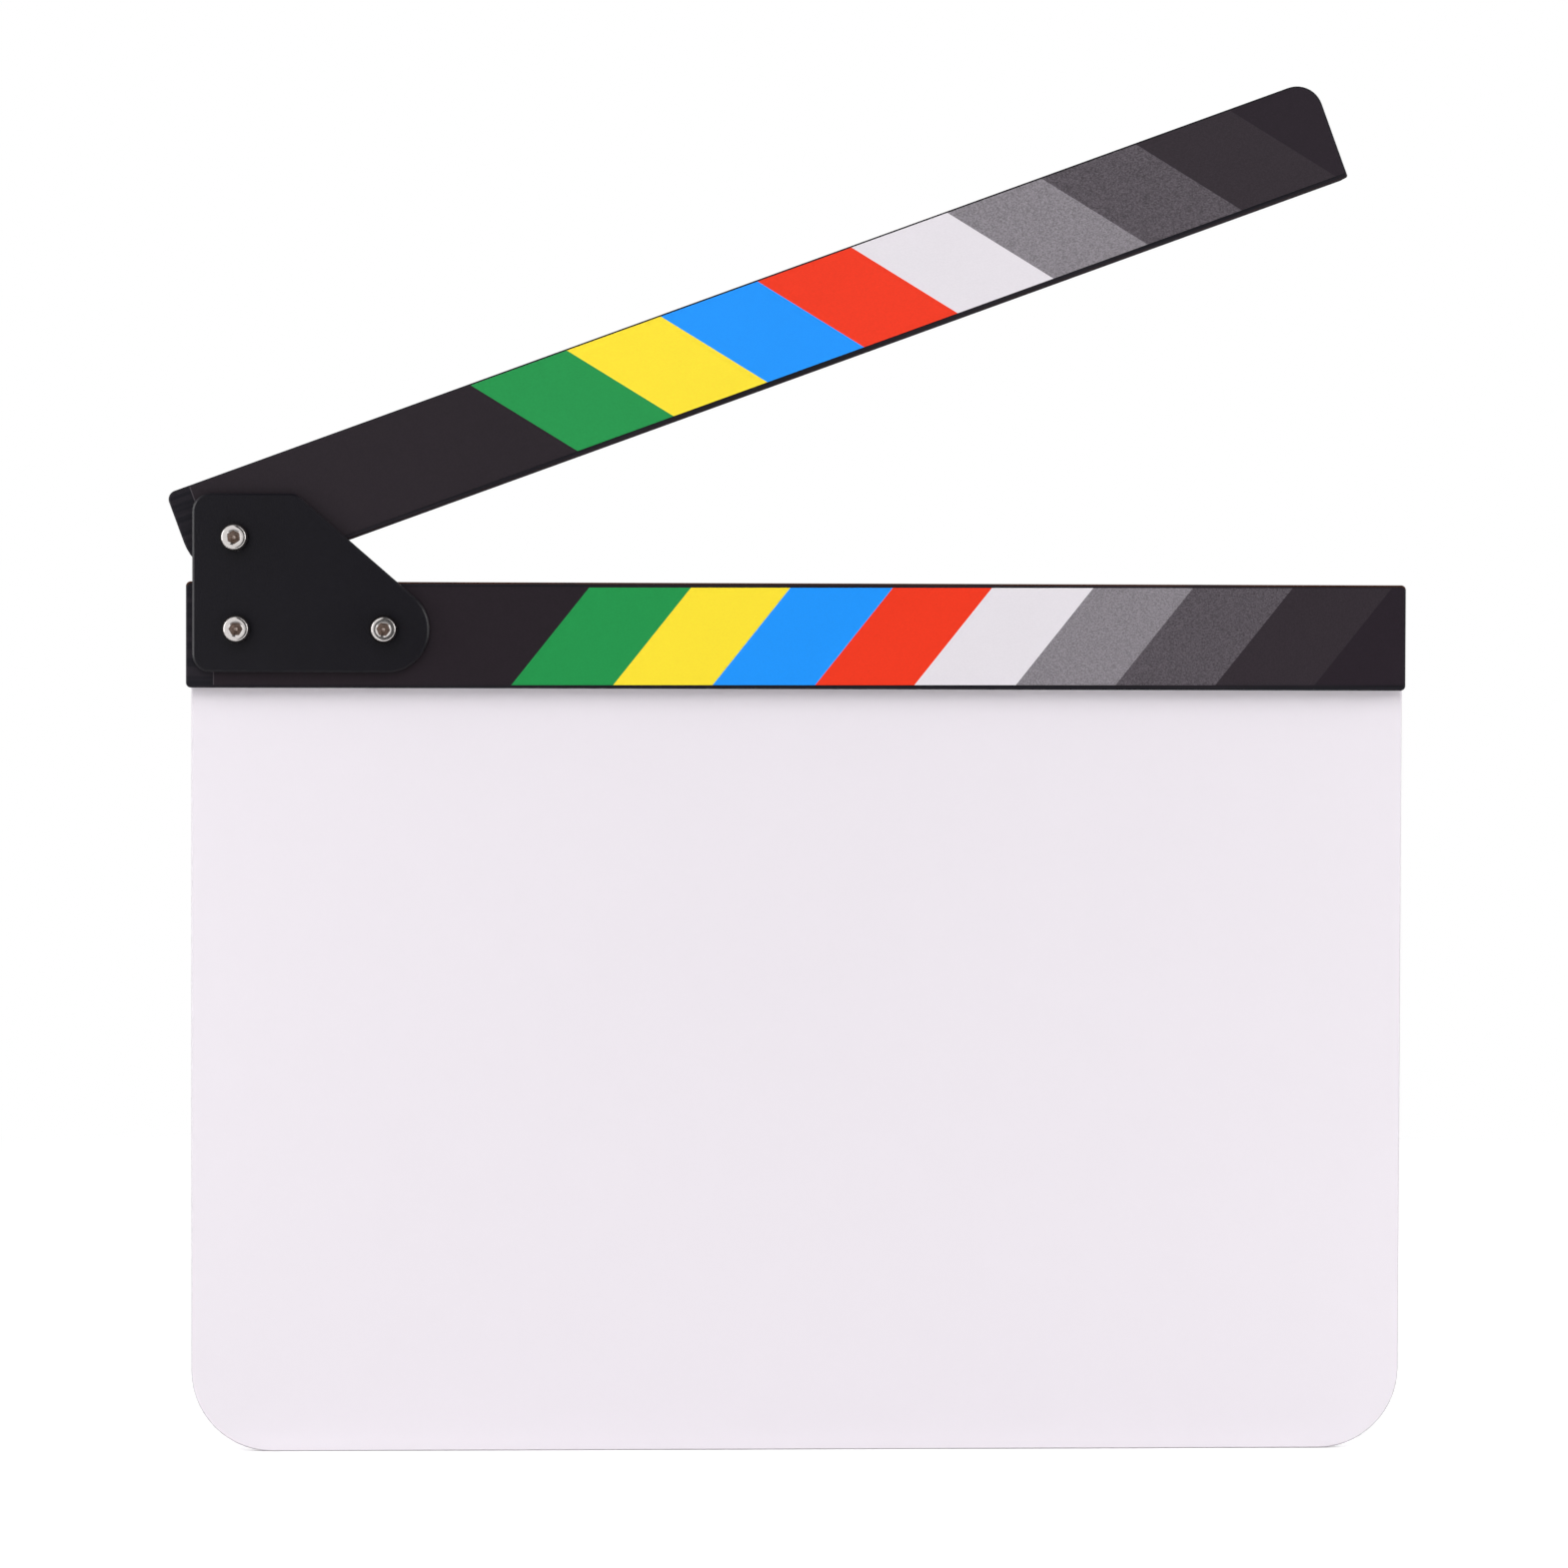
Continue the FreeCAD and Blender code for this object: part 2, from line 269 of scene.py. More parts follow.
# Soft boxes: name, place, width, height, power and whether reflections show it
lamp_aim = (0, 0, 0.18)
soft_boxes = (
    ("left soft box", (-1.00, -0.14, 0.30), 0.5, 1.0, 7.0, True),
    ("right soft box", (1.00, -0.14, 0.30), 0.5, 1.0, 6.0, True),
    ("front soft box", (-0.5, -2.3, 2.3), 1.8, 2.2, 38.0, False),
    ("back soft box", (0.5, 1.1, 0.7), 0.8, 0.8, 7.0, True),
)


# Node helpers

def add(tree, kind, inputs=None, **settings):
    """New shader node, whose inputs are plain values or the sockets that feed them."""
    made = tree.nodes.new("ShaderNode" + kind)
    for name, value in settings.items():
        setattr(made, name, value)
    for name, value in (inputs or {}).items():
        if isinstance(value, bpy.types.NodeSocket):
            tree.links.new(value, made.inputs[name])
        else:
            made.inputs[name].default_value = value
    return made


def maths(tree, operation, *values):
    """Result of a sum on one, two or three values."""
    return add(tree, "Math", dict(enumerate(values)), operation=operation).outputs["Value"]


def overlap(tree, *masks):
    """Mask that is full only where all the given masks are."""
    shared = masks[0]
    for mask in masks[1:]:
        shared = maths(tree, "MULTIPLY", shared, mask)
    return shared


def stretched(tree, vector, factors):
    """Vector with each axis stretched by its own factor."""
    return add(tree, "VectorMath", {0: vector, 1: factors}, operation="MULTIPLY").outputs["Vector"]


def distance(tree, vector):
    """Distance of a place from the origin."""
    return add(tree, "VectorMath", {0: vector}, operation="LENGTH").outputs["Value"]


def axis_distance(tree, vector):
    """Distance of a place from the Y axis."""
    return distance(tree, stretched(tree, vector, (1.0, 0.0, 1.0)))


def mixed(tree, factor, first, second):
    """Colour between two others; the colours of a Mix node are its inputs 6 and 7 and its output 2."""
    return add(tree, "Mix", {0: factor, 6: first, 7: second}, data_type="RGBA").outputs[2]


def remapped(tree, value, start, end, to_start=0.0, to_end=1.0):
    """Value moved from one range to another and held inside it."""
    inputs = {"Value": value, "From Min": start, "From Max": end, "To Min": to_start, "To Max": to_end}
    return add(tree, "MapRange", inputs).outputs["Result"]


def noise(tree, vector, scale, detail):
    """Random pattern of values about the middle."""
    return add(tree, "TexNoise", {"Vector": vector, "Scale": scale, "Detail": detail}).outputs["Fac"]


def own_place(tree):
    """Coordinates in the piece's own axes."""
    return add(tree, "TexCoord").outputs["Object"]


def socket_label(name):
    """Label of a shader's input from its name in this script."""
    return name.replace("_", " ").title().replace("Ior", "IOR")


def effect(name, inputs, outputs):
    """Empty node group with named inputs, given with their first values, and named outputs."""
    tree = bpy.data.node_groups.new(name, "ShaderNodeTree")
    for label, (kind, value) in inputs.items():
        socket = tree.interface.new_socket(label, in_out="INPUT", socket_type="NodeSocket" + kind)
        if value is not None:
            socket.default_value = value
    for label, kind in outputs.items():
        tree.interface.new_socket(label, in_out="OUTPUT", socket_type="NodeSocket" + kind)
    return tree, tree.nodes.new("NodeGroupInput").outputs, tree.nodes.new("NodeGroupOutput").inputs


def use(tree, group, **inputs):
    """Place an effect in a finish or in another effect, and return what it puts out."""
    labelled = {socket_label(name): value for name, value in inputs.items()}
    return add(tree, "Group", labelled, node_tree=group).outputs


def finish(name, **values):
    """New material with its shader's steady values; returns the material, its nodes and its shader."""
    material = bpy.data.materials.new(name)
    material.use_nodes = True
    tree = material.node_tree
    shader = tree.nodes["Principled BSDF"]
    for label, value in values.items():
        shader.inputs[socket_label(label)].default_value = value
    return material, tree, shader


def surface(tree, shader, colour, roughness, height, relief):
    """Give a finish's shader its colour, its roughness and a fine relief."""
    normal = add(tree, "Bump", {"Height": height, "Distance": relief}).outputs["Normal"]
    for label, value in (("Base Color", colour), ("Roughness", roughness), ("Normal", normal)):
        tree.links.new(value, shader.inputs[label])


# Effects that several finishes share

def make_colour_drift():
    """Slow, slight change of a colour's brightness over the surface."""
    tree, given, put = effect(
        "colour drift",
        {
            "Vector": ("Vector", None),
            "Color": ("Color", None),
            "Size": ("Float", 0.05),
            "Amount": ("Float", 0.05),
        },
        {"Color": "Color"},
    )
    patches = noise(tree, given["Vector"], maths(tree, "DIVIDE", 1.0, given["Size"]), detail=4.0)
    swing = maths(tree, "MULTIPLY", maths(tree, "SUBTRACT", patches, noise_middle), given["Amount"])
    value = maths(tree, "MULTIPLY_ADD", swing, drift_contrast, 1.0)
    drifted = add(tree, "HueSaturation", {"Color": given["Color"], "Value": value})
    tree.links.new(drifted.outputs["Color"], put["Color"])
    return tree


def make_handled():
    """Roughness that wanders between two values, as where hands and cloths have rubbed."""
    tree, given, put = effect(
        "handled",
        {
            "Vector": ("Vector", None),
            "Size": ("Float", 0.03),
            "Smooth": ("Float", 0.3),
            "Rough": ("Float", 0.5),
        },
        {"Roughness": "Float"},
    )
    smears = noise(tree, given["Vector"], maths(tree, "DIVIDE", 1.0, given["Size"]), detail=5.0)
    spread = remapped(tree, smears, start=0.32, end=0.68, to_start=given["Smooth"], to_end=given["Rough"])
    tree.links.new(spread, put["Roughness"])
    return tree


def make_grain():
    """Fine pebbled relief of a coat or a sheet."""
    tree, given, put = effect(
        "grain",
        {"Vector": ("Vector", None), "Size": ("Float", 0.0003)},
        {"Height": "Float"},
    )
    pebbles = noise(tree, given["Vector"], maths(tree, "DIVIDE", 1.0, given["Size"]), detail=2.5)
    tree.links.new(pebbles, put["Height"])
    return tree


def make_worn_edge():
    """Mask of the outer edges where a coat has rubbed thin, broken into patches."""
    tree, given, put = effect(
        "worn edge",
        {
            "Vector": ("Vector", None),
            "Width": ("Float", 0.0005),
            "Patch": ("Float", 0.004),
            "Cover": ("Float", 0.5),
        },
        {"Mask": "Float"},
    )
    rounded = add(tree, "Bevel", {"Radius": given["Width"]}, samples=6).outputs["Normal"]
    actual = add(tree, "NewGeometry").outputs["Normal"]
    match = add(tree, "VectorMath", {0: rounded, 1: actual}, operation="DOT_PRODUCT").outputs["Value"]
    edge = remapped(tree, match, start=0.98, end=0.86)
    patches = noise(tree, given["Vector"], maths(tree, "DIVIDE", 1.0, given["Patch"]), detail=6.0)
    least = maths(tree, "SUBTRACT", 1.0, given["Cover"])
    rubbed = remapped(tree, patches, least, maths(tree, "ADD", least, patch_fade))
    tree.links.new(overlap(tree, edge, rubbed), put["Mask"])
    return tree


def make_cut_sides():
    """Mask of faces that turn away from the front by more than a share, such as edges and ends."""
    tree, given, put = effect("cut sides", {"Facing": ("Float", side_facing)}, {"Mask": "Float"})
    normal = add(tree, "NewGeometry").outputs["True Normal"]
    facing = add(tree, "SeparateXYZ", {0: normal}).outputs["Y"]
    less = maths(tree, "SUBTRACT", given["Facing"], maths(tree, "ABSOLUTE", facing))
    tree.links.new(remapped(tree, less, 0.0, facing_fade), put["Mask"])
    return tree


def make_turned():
    """Concentric tool marks about the Y axis, from a lathe."""
    tree, given, put = effect(
        "turned",
        {"Vector": ("Vector", None), "Spacing": ("Float", 0.0002)},
        {"Height": "Float"},
    )
    radius = axis_distance(tree, given["Vector"])
    unevenness = noise(tree, given["Vector"], 1 / tool_wander_size, detail=1.0)
    wander = maths(tree, "MULTIPLY", unevenness, tool_wander_turns)
    turns = maths(tree, "ADD", maths(tree, "DIVIDE", radius, given["Spacing"]), wander)
    wave = maths(tree, "SINE", maths(tree, "MULTIPLY", turns, 2 * math.pi))
    tree.links.new(wave, put["Height"])
    return tree


def make_stick_coat():
    """Satin black paint over wood: grain along the stick, and brown where the sticks clap together, worn
    wood and a painted highlight on the upward-facing edge.
    """
    tree, given, put = effect(
        "stick coat",
        {
            "Vector": ("Vector", None),
            "Clap Face": ("Float", 0.0),
            "Clap Side": ("Float", 1.0),
            "Clap Wear": ("Float", 1.0),
        },
        {"Color": "Color", "Roughness": "Float", "Height": "Float"},
    )
    place = given["Vector"]
    fibres = noise(tree, stretched(tree, place, fibre_stretch), 1.0, detail=4.0)
    height = add(tree, "SeparateXYZ", {0: place}).outputs["Z"]
    below_face = maths(tree, "SUBTRACT", given["Clap Face"], height)
    inward = maths(tree, "MULTIPLY", below_face, given["Clap Side"])
    near = remapped(tree, inward, clap_wear_ends, clap_wear_full, to_end=given["Clap Wear"])
    sides = use(tree, cut_sides, facing=side_facing)["Mask"]
    eased = maths(tree, "SUBTRACT", use(tree, cut_sides, facing=eased_facing)["Mask"], sides)
    blotches = noise(tree, place, 1 / clap_patch_size, detail=6.0)
    patches = remapped(tree, blotches, start=0.34, end=0.46, to_start=0.4)
    bared_and_lit = overlap(tree, near, eased, patches)
    rubbed = use(tree, worn_edge, vector=place, width=0.0006, patch=0.006, cover=0.42)["Mask"]
    lines = remapped(tree, fibres, start=0.42, end=0.66)
    grained = mixed(tree, lines, paint_black, paint_on_fibres)
    paint = use(tree, colour_drift, vector=place, color=grained, size=0.03, amount=0.12)["Color"]
    thinned = mixed(tree, rubbed, paint, paint_rubbed_thin)
    satin = use(tree, handled, vector=place, size=0.035, smooth=0.42, rough=0.56)["Roughness"]
    tree.links.new(mixed(tree, bared_and_lit, thinned, clap_wood_and_edge_highlight), put["Color"])
    tree.links.new(remapped(tree, sides, 0.0, 1.0, satin, side_roughness), put["Roughness"])
    tree.links.new(fibres, put["Height"])
    return tree


def make_stripe_print():
    """Slanted colour stripes between a black and a soft black field, with the print's dots showing."""
    tree, given, put = effect(
        "stripe print",
        {
            "Vector": ("Vector", None),
            "Lean": ("Float", 1.0),
            "Start": ("Float", 0.0),
            "Stretch": ("Float", 1.0),
            "Light": ("Float", 1.0),
            "Haze": ("Float", 0.0),
            "Top": ("Float", upper_stripes_top),
            "Rise": ("Float", 0.0),
            "End": ("Float", 0.0),
        },
        {"Color": "Color", "Height": "Float"},
    )
    place = add(tree, "SeparateXYZ", {0: given["Vector"]}).outputs
    slant = maths(tree, "MULTIPLY", place["Z"], maths(tree, "MULTIPLY", given["Lean"], stripe_lean))
    across = maths(tree, "SUBTRACT", maths(tree, "SUBTRACT", place["X"], slant), given["Start"])
    along = maths(tree, "DIVIDE", across, given["Stretch"])
    field = stripes[0]
    ink = field.colour
    shown_dots = field.dots
    reached = 0.0
    for before, stripe in zip(stripes, stripes[1:]):
        passed = remapped(tree, along, reached - stripe_bleed, reached + stripe_bleed)
        ink = mixed(tree, passed, ink, stripe.colour)
        shown_dots = maths(tree, "MULTIPLY_ADD", passed, stripe.dots - before.dots, shown_dots)
        reached += stripe.width
    top = maths(tree, "MULTIPLY_ADD", place["X"], given["Rise"], given["Top"])
    over = maths(tree, "SUBTRACT", place["Z"], top)
    border = remapped(tree, over, -stripe_bleed, stripe_bleed)
    ink = mixed(tree, border, ink, field.colour)
    # A light grey line along the strip's cut end at the hinge, the pale cut edge and a painted highlight
    past_cut = maths(tree, "SUBTRACT", place["X"], given["End"])
    inner = remapped(tree, past_cut, strip_cut_width - stripe_bleed, strip_cut_width + stripe_bleed)
    ink = mixed(tree, inner, strip_end_edge_and_highlight, ink)
    dots = noise(tree, given["Vector"], 1 / stripe_speckle_size, detail=1.5)
    swing = maths(tree, "MULTIPLY", maths(tree, "SUBTRACT", dots, noise_middle), shown_dots)
    value = maths(tree, "MULTIPLY_ADD", swing, dot_contrast, 1.0)
    lit = maths(tree, "MULTIPLY", value, given["Light"])
    speckled = add(tree, "HueSaturation", {"Color": ink, "Value": lit}).outputs["Color"]
    hazed = mixed(tree, given["Haze"], speckled, print_haze)
    drifted = use(tree, colour_drift, vector=given["Vector"], color=hazed, size=0.06, amount=0.03)
    tree.links.new(drifted["Color"], put["Color"])
    tree.links.new(dots, put["Height"])
    return tree


colour_drift = make_colour_drift()
handled = make_handled()
grain = make_grain()
worn_edge = make_worn_edge()
cut_sides = make_cut_sides()
turned = make_turned()
stick_coat = make_stick_coat()
stripe_print = make_stripe_print()


# Finishes

def stick_place(tree, middle, tilt):
    """Coordinates along, through and up a stick, from a point above or below the hinge."""
    origin = hinge + Vector((-math.sin(tilt), 0, math.cos(tilt))) * middle
    inputs = {"Vector": own_place(tree), "Location": origin, "Rotation": (0, -tilt, 0)}
    return add(tree, "Mapping", inputs, vector_type="TEXTURE").outputs["Vector"]


def board_acrylic():
    """White acrylic: polished faces with faint wiping marks, and a sawn edge, greyed partly as painted
    shade.
    """
    material, tree, shader = finish("board acrylic", specular_ior_level=0.5)
    place = own_place(tree)
    white = use(tree, colour_drift, vector=place, color=board_white, size=0.09, amount=0.006)["Color"]
    wiped = stretched(tree, place, wipe_stretch)
    gloss = use(tree, handled, vector=wiped, size=0.12, smooth=0.29, rough=0.33)["Roughness"]
    sawn = use(tree, cut_sides, facing=eased_facing)["Mask"]
    teeth = noise(tree, stretched(tree, place, saw_stretch), 1.0, detail=2.0)
    ripple = use(tree, grain, vector=place, size=0.0012)["Height"]
    # The edges are painted grey, the sawn finish together with painted shade
    colour = mixed(tree, sawn, white, board_sawn_edge_shade)
    roughness = maths(tree, "MULTIPLY_ADD", sawn, sawn_roughness, gloss)
    height = maths(tree, "MULTIPLY_ADD", ripple, ripple_share, overlap(tree, teeth, sawn))
    surface(tree, shader, colour, roughness, height, relief=0.00002)
    return material


def stick_paint(name, tilt, clap):
    """Painted wood of a stick, browned where its clapping face meets the other stick: bared wood, and a
    painted highlight on an upward-facing edge.
    """
    material, tree, shader = finish(name, specular_ior_level=0.04)
    coat = use(tree, stick_coat, vector=stick_place(tree, 0.0, tilt), **clap)
    surface(tree, shader, coat["Color"], coat["Roughness"], coat["Height"], relief=0.00004)
    return material


def label_print(name, middle, tilt, layout):
    """Printed vinyl of a strip, laid out from its own middle."""
    material, tree, shader = finish(name, specular_ior_level=0.15)
    place = stick_place(tree, middle, tilt)
    ink = use(tree, stripe_print, vector=place, **layout)
    satin = use(tree, handled, vector=place, size=0.03, smooth=0.48, rough=0.6)["Roughness"]
    surface(tree, shader, ink["Color"], satin, ink["Height"], relief=0.00001)
    return material


def plate_coat():
    """Black powder coat with a fine pebble, rubbed lighter in places along its rim."""
    material, tree, shader = finish("plate coat", specular_ior_level=0.22)
    place = own_place(tree)
    black = use(tree, colour_drift, vector=place, color=plate_black, size=0.012, amount=0.1)["Color"]
    rubbed = use(tree, worn_edge, vector=place, width=0.0005, patch=0.003, cover=0.3)["Mask"]
    satin = use(tree, handled, vector=place, size=0.02, smooth=0.28, rough=0.36)["Roughness"]
    pebbles = use(tree, grain, vector=place, size=0.00045)["Height"]
    surface(tree, shader, mixed(tree, rubbed, black, plate_rubbed), satin, pebbles, relief=0.00004)
    return material


def screw_steel():
    """Bright turned steel, with a browned film down in the socket whose walls are darker as painted shade,
    and a black band of painted shade and dark reflection round the head.
    """
    material, tree, shader = finish("screw steel", specular_ior_level=0.1)
    place = own_place(tree)
    steel = use(tree, colour_drift, vector=place, color=screw_bright, size=0.002, amount=0.06)["Color"]
    radius = axis_distance(tree, place)
    depth = add(tree, "SeparateXYZ", {0: place}).outputs["Y"]
    on_head = remapped(tree, depth, 0.0, -head_foot_fade)

    inside = remapped(tree, radius, film_end_radius, film_full_radius)
    from_mouth = maths(tree, "SUBTRACT", socket_mouth_radius, radius)
    cone = maths(tree, "MULTIPLY", from_mouth, math.tan(socket_mouth_angle))
    below_cone = maths(tree, "SUBTRACT", maths(tree, "ADD", depth, screw_head_height), cone)
    sunk = remapped(tree, below_cone, film_start_depth, film_full_depth)
    filmed = overlap(tree, inside, sunk, on_head)
    # The film darkens from the socket's floor out to its walls, as painted shade on the walls
    toward_shaded_wall = remapped(tree, radius, film_floor_radius, film_wall_radius)
    film = mixed(tree, toward_shaded_wall, film_on_floor, film_wall_painted_shade)

    # Painted shade: the knurled side and outer rounding of each head are painted near black and not metal,
    # for their shade and dark reflection
    out_of_crown = remapped(tree, radius, screw_crown_radius, screw_crown_radius + band_fade)
    crown_foot = screw_head_rounding - screw_head_height
    under_crown = remapped(tree, depth, crown_foot - band_start_above, crown_foot - band_full_above)
    shaded_band = overlap(tree, out_of_crown, under_crown, on_head)

    colour = mixed(tree, shaded_band, mixed(tree, filmed, steel, film), screw_band_painted_shade)
    polish = use(tree, handled, vector=place, size=0.0015, smooth=0.07, rough=0.12)["Roughness"]
    roughness = maths(tree, "MULTIPLY_ADD", filmed, film_roughness, polish)
    marks = use(tree, turned, vector=place, spacing=0.00042)["Height"]
    surface(tree, shader, colour, roughness, marks, relief=0.0000005)
    tree.links.new(maths(tree, "SUBTRACT", 1.0, shaded_band), shader.inputs["Metallic"])
    return material


def turned_metal(name, colour, low, high, patch, smooth, rough, spacing):
    """Metal of a small turned piece, whose tool marks run round the middle of its box."""
    material, tree, shader = finish(name, metallic=1.0)
    place = own_place(tree)
    tone = use(tree, colour_drift, vector=place, color=colour, size=patch, amount=0.1)["Color"]
    polish = use(tree, handled, vector=place, size=patch, smooth=smooth, rough=rough)["Roughness"]
    centred = add(tree, "VectorMath", {0: place, 1: (low + high) / 2}, operation="SUBTRACT")
    marks = use(tree, turned, vector=centred.outputs["Vector"], spacing=spacing)["Height"]
    surface(tree, shader, tone, polish, marks, relief=0.000006)
    return material


def plated_steel(name, colour, low, high):
    """Zinc-plated steel of a bought washer or nut."""
    return turned_metal(name, colour, low, high, patch=0.0012, smooth=0.24, rough=0.4, spacing=0.0003)


def bush_brass():
    """Turned brass of the pivot's bush."""
    low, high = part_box("pivot_bush")
    return turned_metal(
        "bush brass", bush_yellow, low, high, patch=0.002, smooth=0.2, rough=0.34, spacing=0.00025
    )


def nylon():
    """Undyed nylon of the friction washers and the nuts' rings."""
    material, tree, shader = finish("nylon", specular_ior_level=0.4)
    place = own_place(tree)
    milky = use(tree, colour_drift, vector=place, color=nylon_milky, size=0.002, amount=0.05)["Color"]
    satin = use(tree, handled, vector=place, size=0.0015, smooth=0.36, rough=0.5)["Roughness"]
    pebbles = use(tree, grain, vector=place, size=0.0003)["Height"]
    surface(tree, shader, milky, satin, pebbles, relief=0.00001)
    return material


# Pieces

def dress(node, material):
    """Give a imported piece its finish."""
    frame["nodes"][node].material_slots[0].material = material


def soften(node, width, segments):
    """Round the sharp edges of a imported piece, as tumbling or paint does."""
    piece = frame["nodes"][node]
    weld = piece.modifiers.new("join the faces", "WELD")
    weld.merge_threshold = weld_distance
    edge = piece.modifiers.new("soft edges", "BEVEL")
    edge.width = width
    edge.segments = segments
    edge.limit_method = "ANGLE"
    edge.angle_limit = sharp_edge_from
    edge.harden_normals = False
    even = piece.modifiers.new("even shading", "WEIGHTED_NORMAL")
    even.keep_sharp = False


def mesh_piece(name, points, faces, material):
    """New object in the scene from its points and faces."""
    mesh = bpy.data.meshes.new(name)
    mesh.from_pydata(points, [], faces)
    mesh.materials.append(material)
    piece = bpy.data.objects.new(name, mesh)
    bpy.context.scene.collection.objects.link(piece)
    return piece


def hex_radius(angle):
    """Distance from the socket's middle to its wall, with a corner at angle zero."""
    sixth = math.pi / 3
    return socket_width / 2 / math.cos(angle % sixth - sixth / 2)


def thread_radius(angle, depth):
    """Radius of the right-hand thread at an angle round the shank and a depth along it."""
    phase = (depth / screw_thread_pitch + angle / (2 * math.pi)) % 1
    climb = (abs(2 * phase - 1) - screw_thread_root_share) / screw_thread_flank_share
    ridge = min(1, max(0, climb))
    return screw_shank_radius - screw_thread_depth * (1 - ridge)


def screw_rings(length):
    """Rings from the socket's floor over the head and down the shank, as radius and depth by angle."""
    corner = socket_corner_radius
    slope = math.tan(socket_floor_angle)
    mouth_slope = math.tan(socket_mouth_angle)
    rounding_start = screw_crown_radius - screw_head_rounding
    fall = screw_fall_width * math.tan(screw_fall_angle)
    knurl_top = fall + screw_head_rounding + screw_knurl_margin
    knurl_foot = screw_head_height - 2 * screw_knurl_margin
    tooth = 2 * math.pi / screw_segments

    def level(radius, depth):
        return lambda angle: (radius, depth)

    def socket_floor(parts):
        def ring(angle):
            radius = hex_radius(angle) / parts
            return radius, socket_depth + (corner - radius) * slope
        return ring

    def knurled(depth):
        return lambda angle: (screw_head_radius - screw_knurl_depth * (round(angle / tooth) % 2), depth)

    def threaded(depth):
        taper = length - depth - screw_tip_chamfer + screw_shank_radius
        return lambda angle: (min(thread_radius(angle, depth), taper), depth)

    yield socket_floor(floor_ring_parts)
    yield socket_floor(1)
    yield lambda angle: (hex_radius(angle), (socket_mouth_radius - hex_radius(angle)) * mouth_slope)
    yield level(socket_mouth_radius, 0)
    yield level(rounding_start - screw_fall_width - screw_flat_margin, 0)
    yield level(rounding_start - screw_fall_width, 0)
    for step in range(rounding_steps + 1):
        turn = math.pi / 2 * step / rounding_steps
        bulge = screw_head_rounding * math.sin(turn)
        yield level(rounding_start + bulge, fall + screw_head_rounding * (1 - math.cos(turn)))
    yield level(screw_head_radius - screw_knurl_depth, fall + screw_head_rounding)
    yield knurled(knurl_top)
    yield knurled(knurl_foot)
    yield level(screw_head_radius, screw_head_height - screw_knurl_margin)
    yield level(screw_head_radius - screw_knurl_margin, screw_head_height)
    yield level(screw_shank_radius, screw_head_height)
    thread_start = length - screw_thread_length
    yield level(screw_shank_radius, thread_start)
    count = round(rings_per_thread * screw_thread_length / screw_thread_pitch)
    for step in range(1, count + 1):
        yield threaded(thread_start + screw_thread_length * step / count)


def screw_shape(length):
    """Points and faces of a screw along Y, with the underside of its head at zero."""
    points = []
    faces = []
    steps = [(step, (step + 1) % screw_segments) for step in range(screw_segments)]
    for ring in screw_rings(length):
        for step in range(screw_segments):
            angle = 2 * math.pi * step / screw_segments
            radius, depth = ring(angle)
            points.append((radius * math.cos(angle), depth - screw_head_height, radius * math.sin(angle)))
    last = len(points) - screw_segments
    for first in range(0, last, screw_segments):
        second = first + screw_segments
        for step, after in steps:
            faces.append((first + step, first + after, second + after, second + step))
    floor_depth = socket_depth + socket_corner_radius * math.tan(socket_floor_angle)
    floor_middle = len(points)
    points.append((0, floor_depth - screw_head_height, 0))
    tip_middle = len(points)
    points.append((0, length - screw_head_height, 0))
    for step, after in steps:
        faces.append((floor_middle, after, step))
        faces.append((tip_middle, last + step, last + after))
    return points, faces


def socket_screw(node, material):
    """Cap screw with a knurled head, a six-sided socket and a thread, in place of the plain packed one."""
    low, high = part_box(node)
    middle = (low + high) / 2
    points, faces = screw_shape(high.y - low.y)
    piece = mesh_piece(node + "_turned", points, faces, material)
    piece.data.polygons.foreach_set("use_smooth", [True] * len(faces))
    piece.data.set_sharp_from_angle(angle=screw_sharp_edge)
    piece.location = (middle.x, plate_front, middle.z)
    piece.rotation_euler = (0, -math.radians(socket_turns[node]), 0)
    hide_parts(node)
    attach(piece, "board")


def dress_pieces():
    """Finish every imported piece, and put the turned screws in place of the plain ones."""
    dress("slate_board", board_acrylic())
    dress("lower_stick", stick_paint("lower stick paint", 0.0, lower_clap))
    dress("upper_stick", stick_paint("upper stick paint", clapper_open, upper_clap))
    dress("lower_stripe_label", label_print("lower print", lower_print_middle, 0.0, lower_stripes))
    dress("upper_stripe_label", label_print("upper print", upper_print_middle, clapper_open, upper_stripes))
    dress("hinge_plate", plate_coat())
    dress("pivot_bush", bush_brass())
    milky = nylon()
    bright = screw_steel()
    for place in ("pivot", "lower_left", "lower_right"):
        socket_screw(place + "_screw", bright)
        dress(place + "_nut_insert", milky)
        for part, colour in (("_washer", washer_zinc), ("_nut", nut_zinc)):
            name = (place + part).replace("_", " ")
            dress(place + part, plated_steel(name, colour, *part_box(place + part)))
            soften(place + part, fastener_soft_edge, segments=2)
    for place in ("front", "rear"):
        dress(place + "_friction_washer", milky)
    for node, width in soft_edges.items():
        soften(node, width, segments=3)


# Studio

def soft_box(name, place, width, height, power, mirrored):
    """Large soft lamp, which stays out of the picture and shows in reflections only if mirrored."""
    data = bpy.data.lights.new(name, "AREA")
    data.shape = "RECTANGLE"
    data.size = width
    data.size_y = height
    data.energy = power
    lamp = bpy.data.objects.new(name, data)
    lamp.location = place
    lamp.rotation_euler = (Vector(lamp_aim) - Vector(place)).to_track_quat("-Z", "Y").to_euler()
    lamp.visible_camera = False
    lamp.visible_glossy = mirrored
    bpy.context.scene.collection.objects.link(lamp)


def seen_directly(tree):
    """One for rays from the camera, a mirror or glass, and zero for light that falls on things."""
    path = add(tree, "LightPath").outputs
    seen = maths(tree, "MAXIMUM", path["Is Camera Ray"], path["Is Glossy Ray"])
    return maths(tree, "MAXIMUM", seen, path["Is Transmission Ray"])


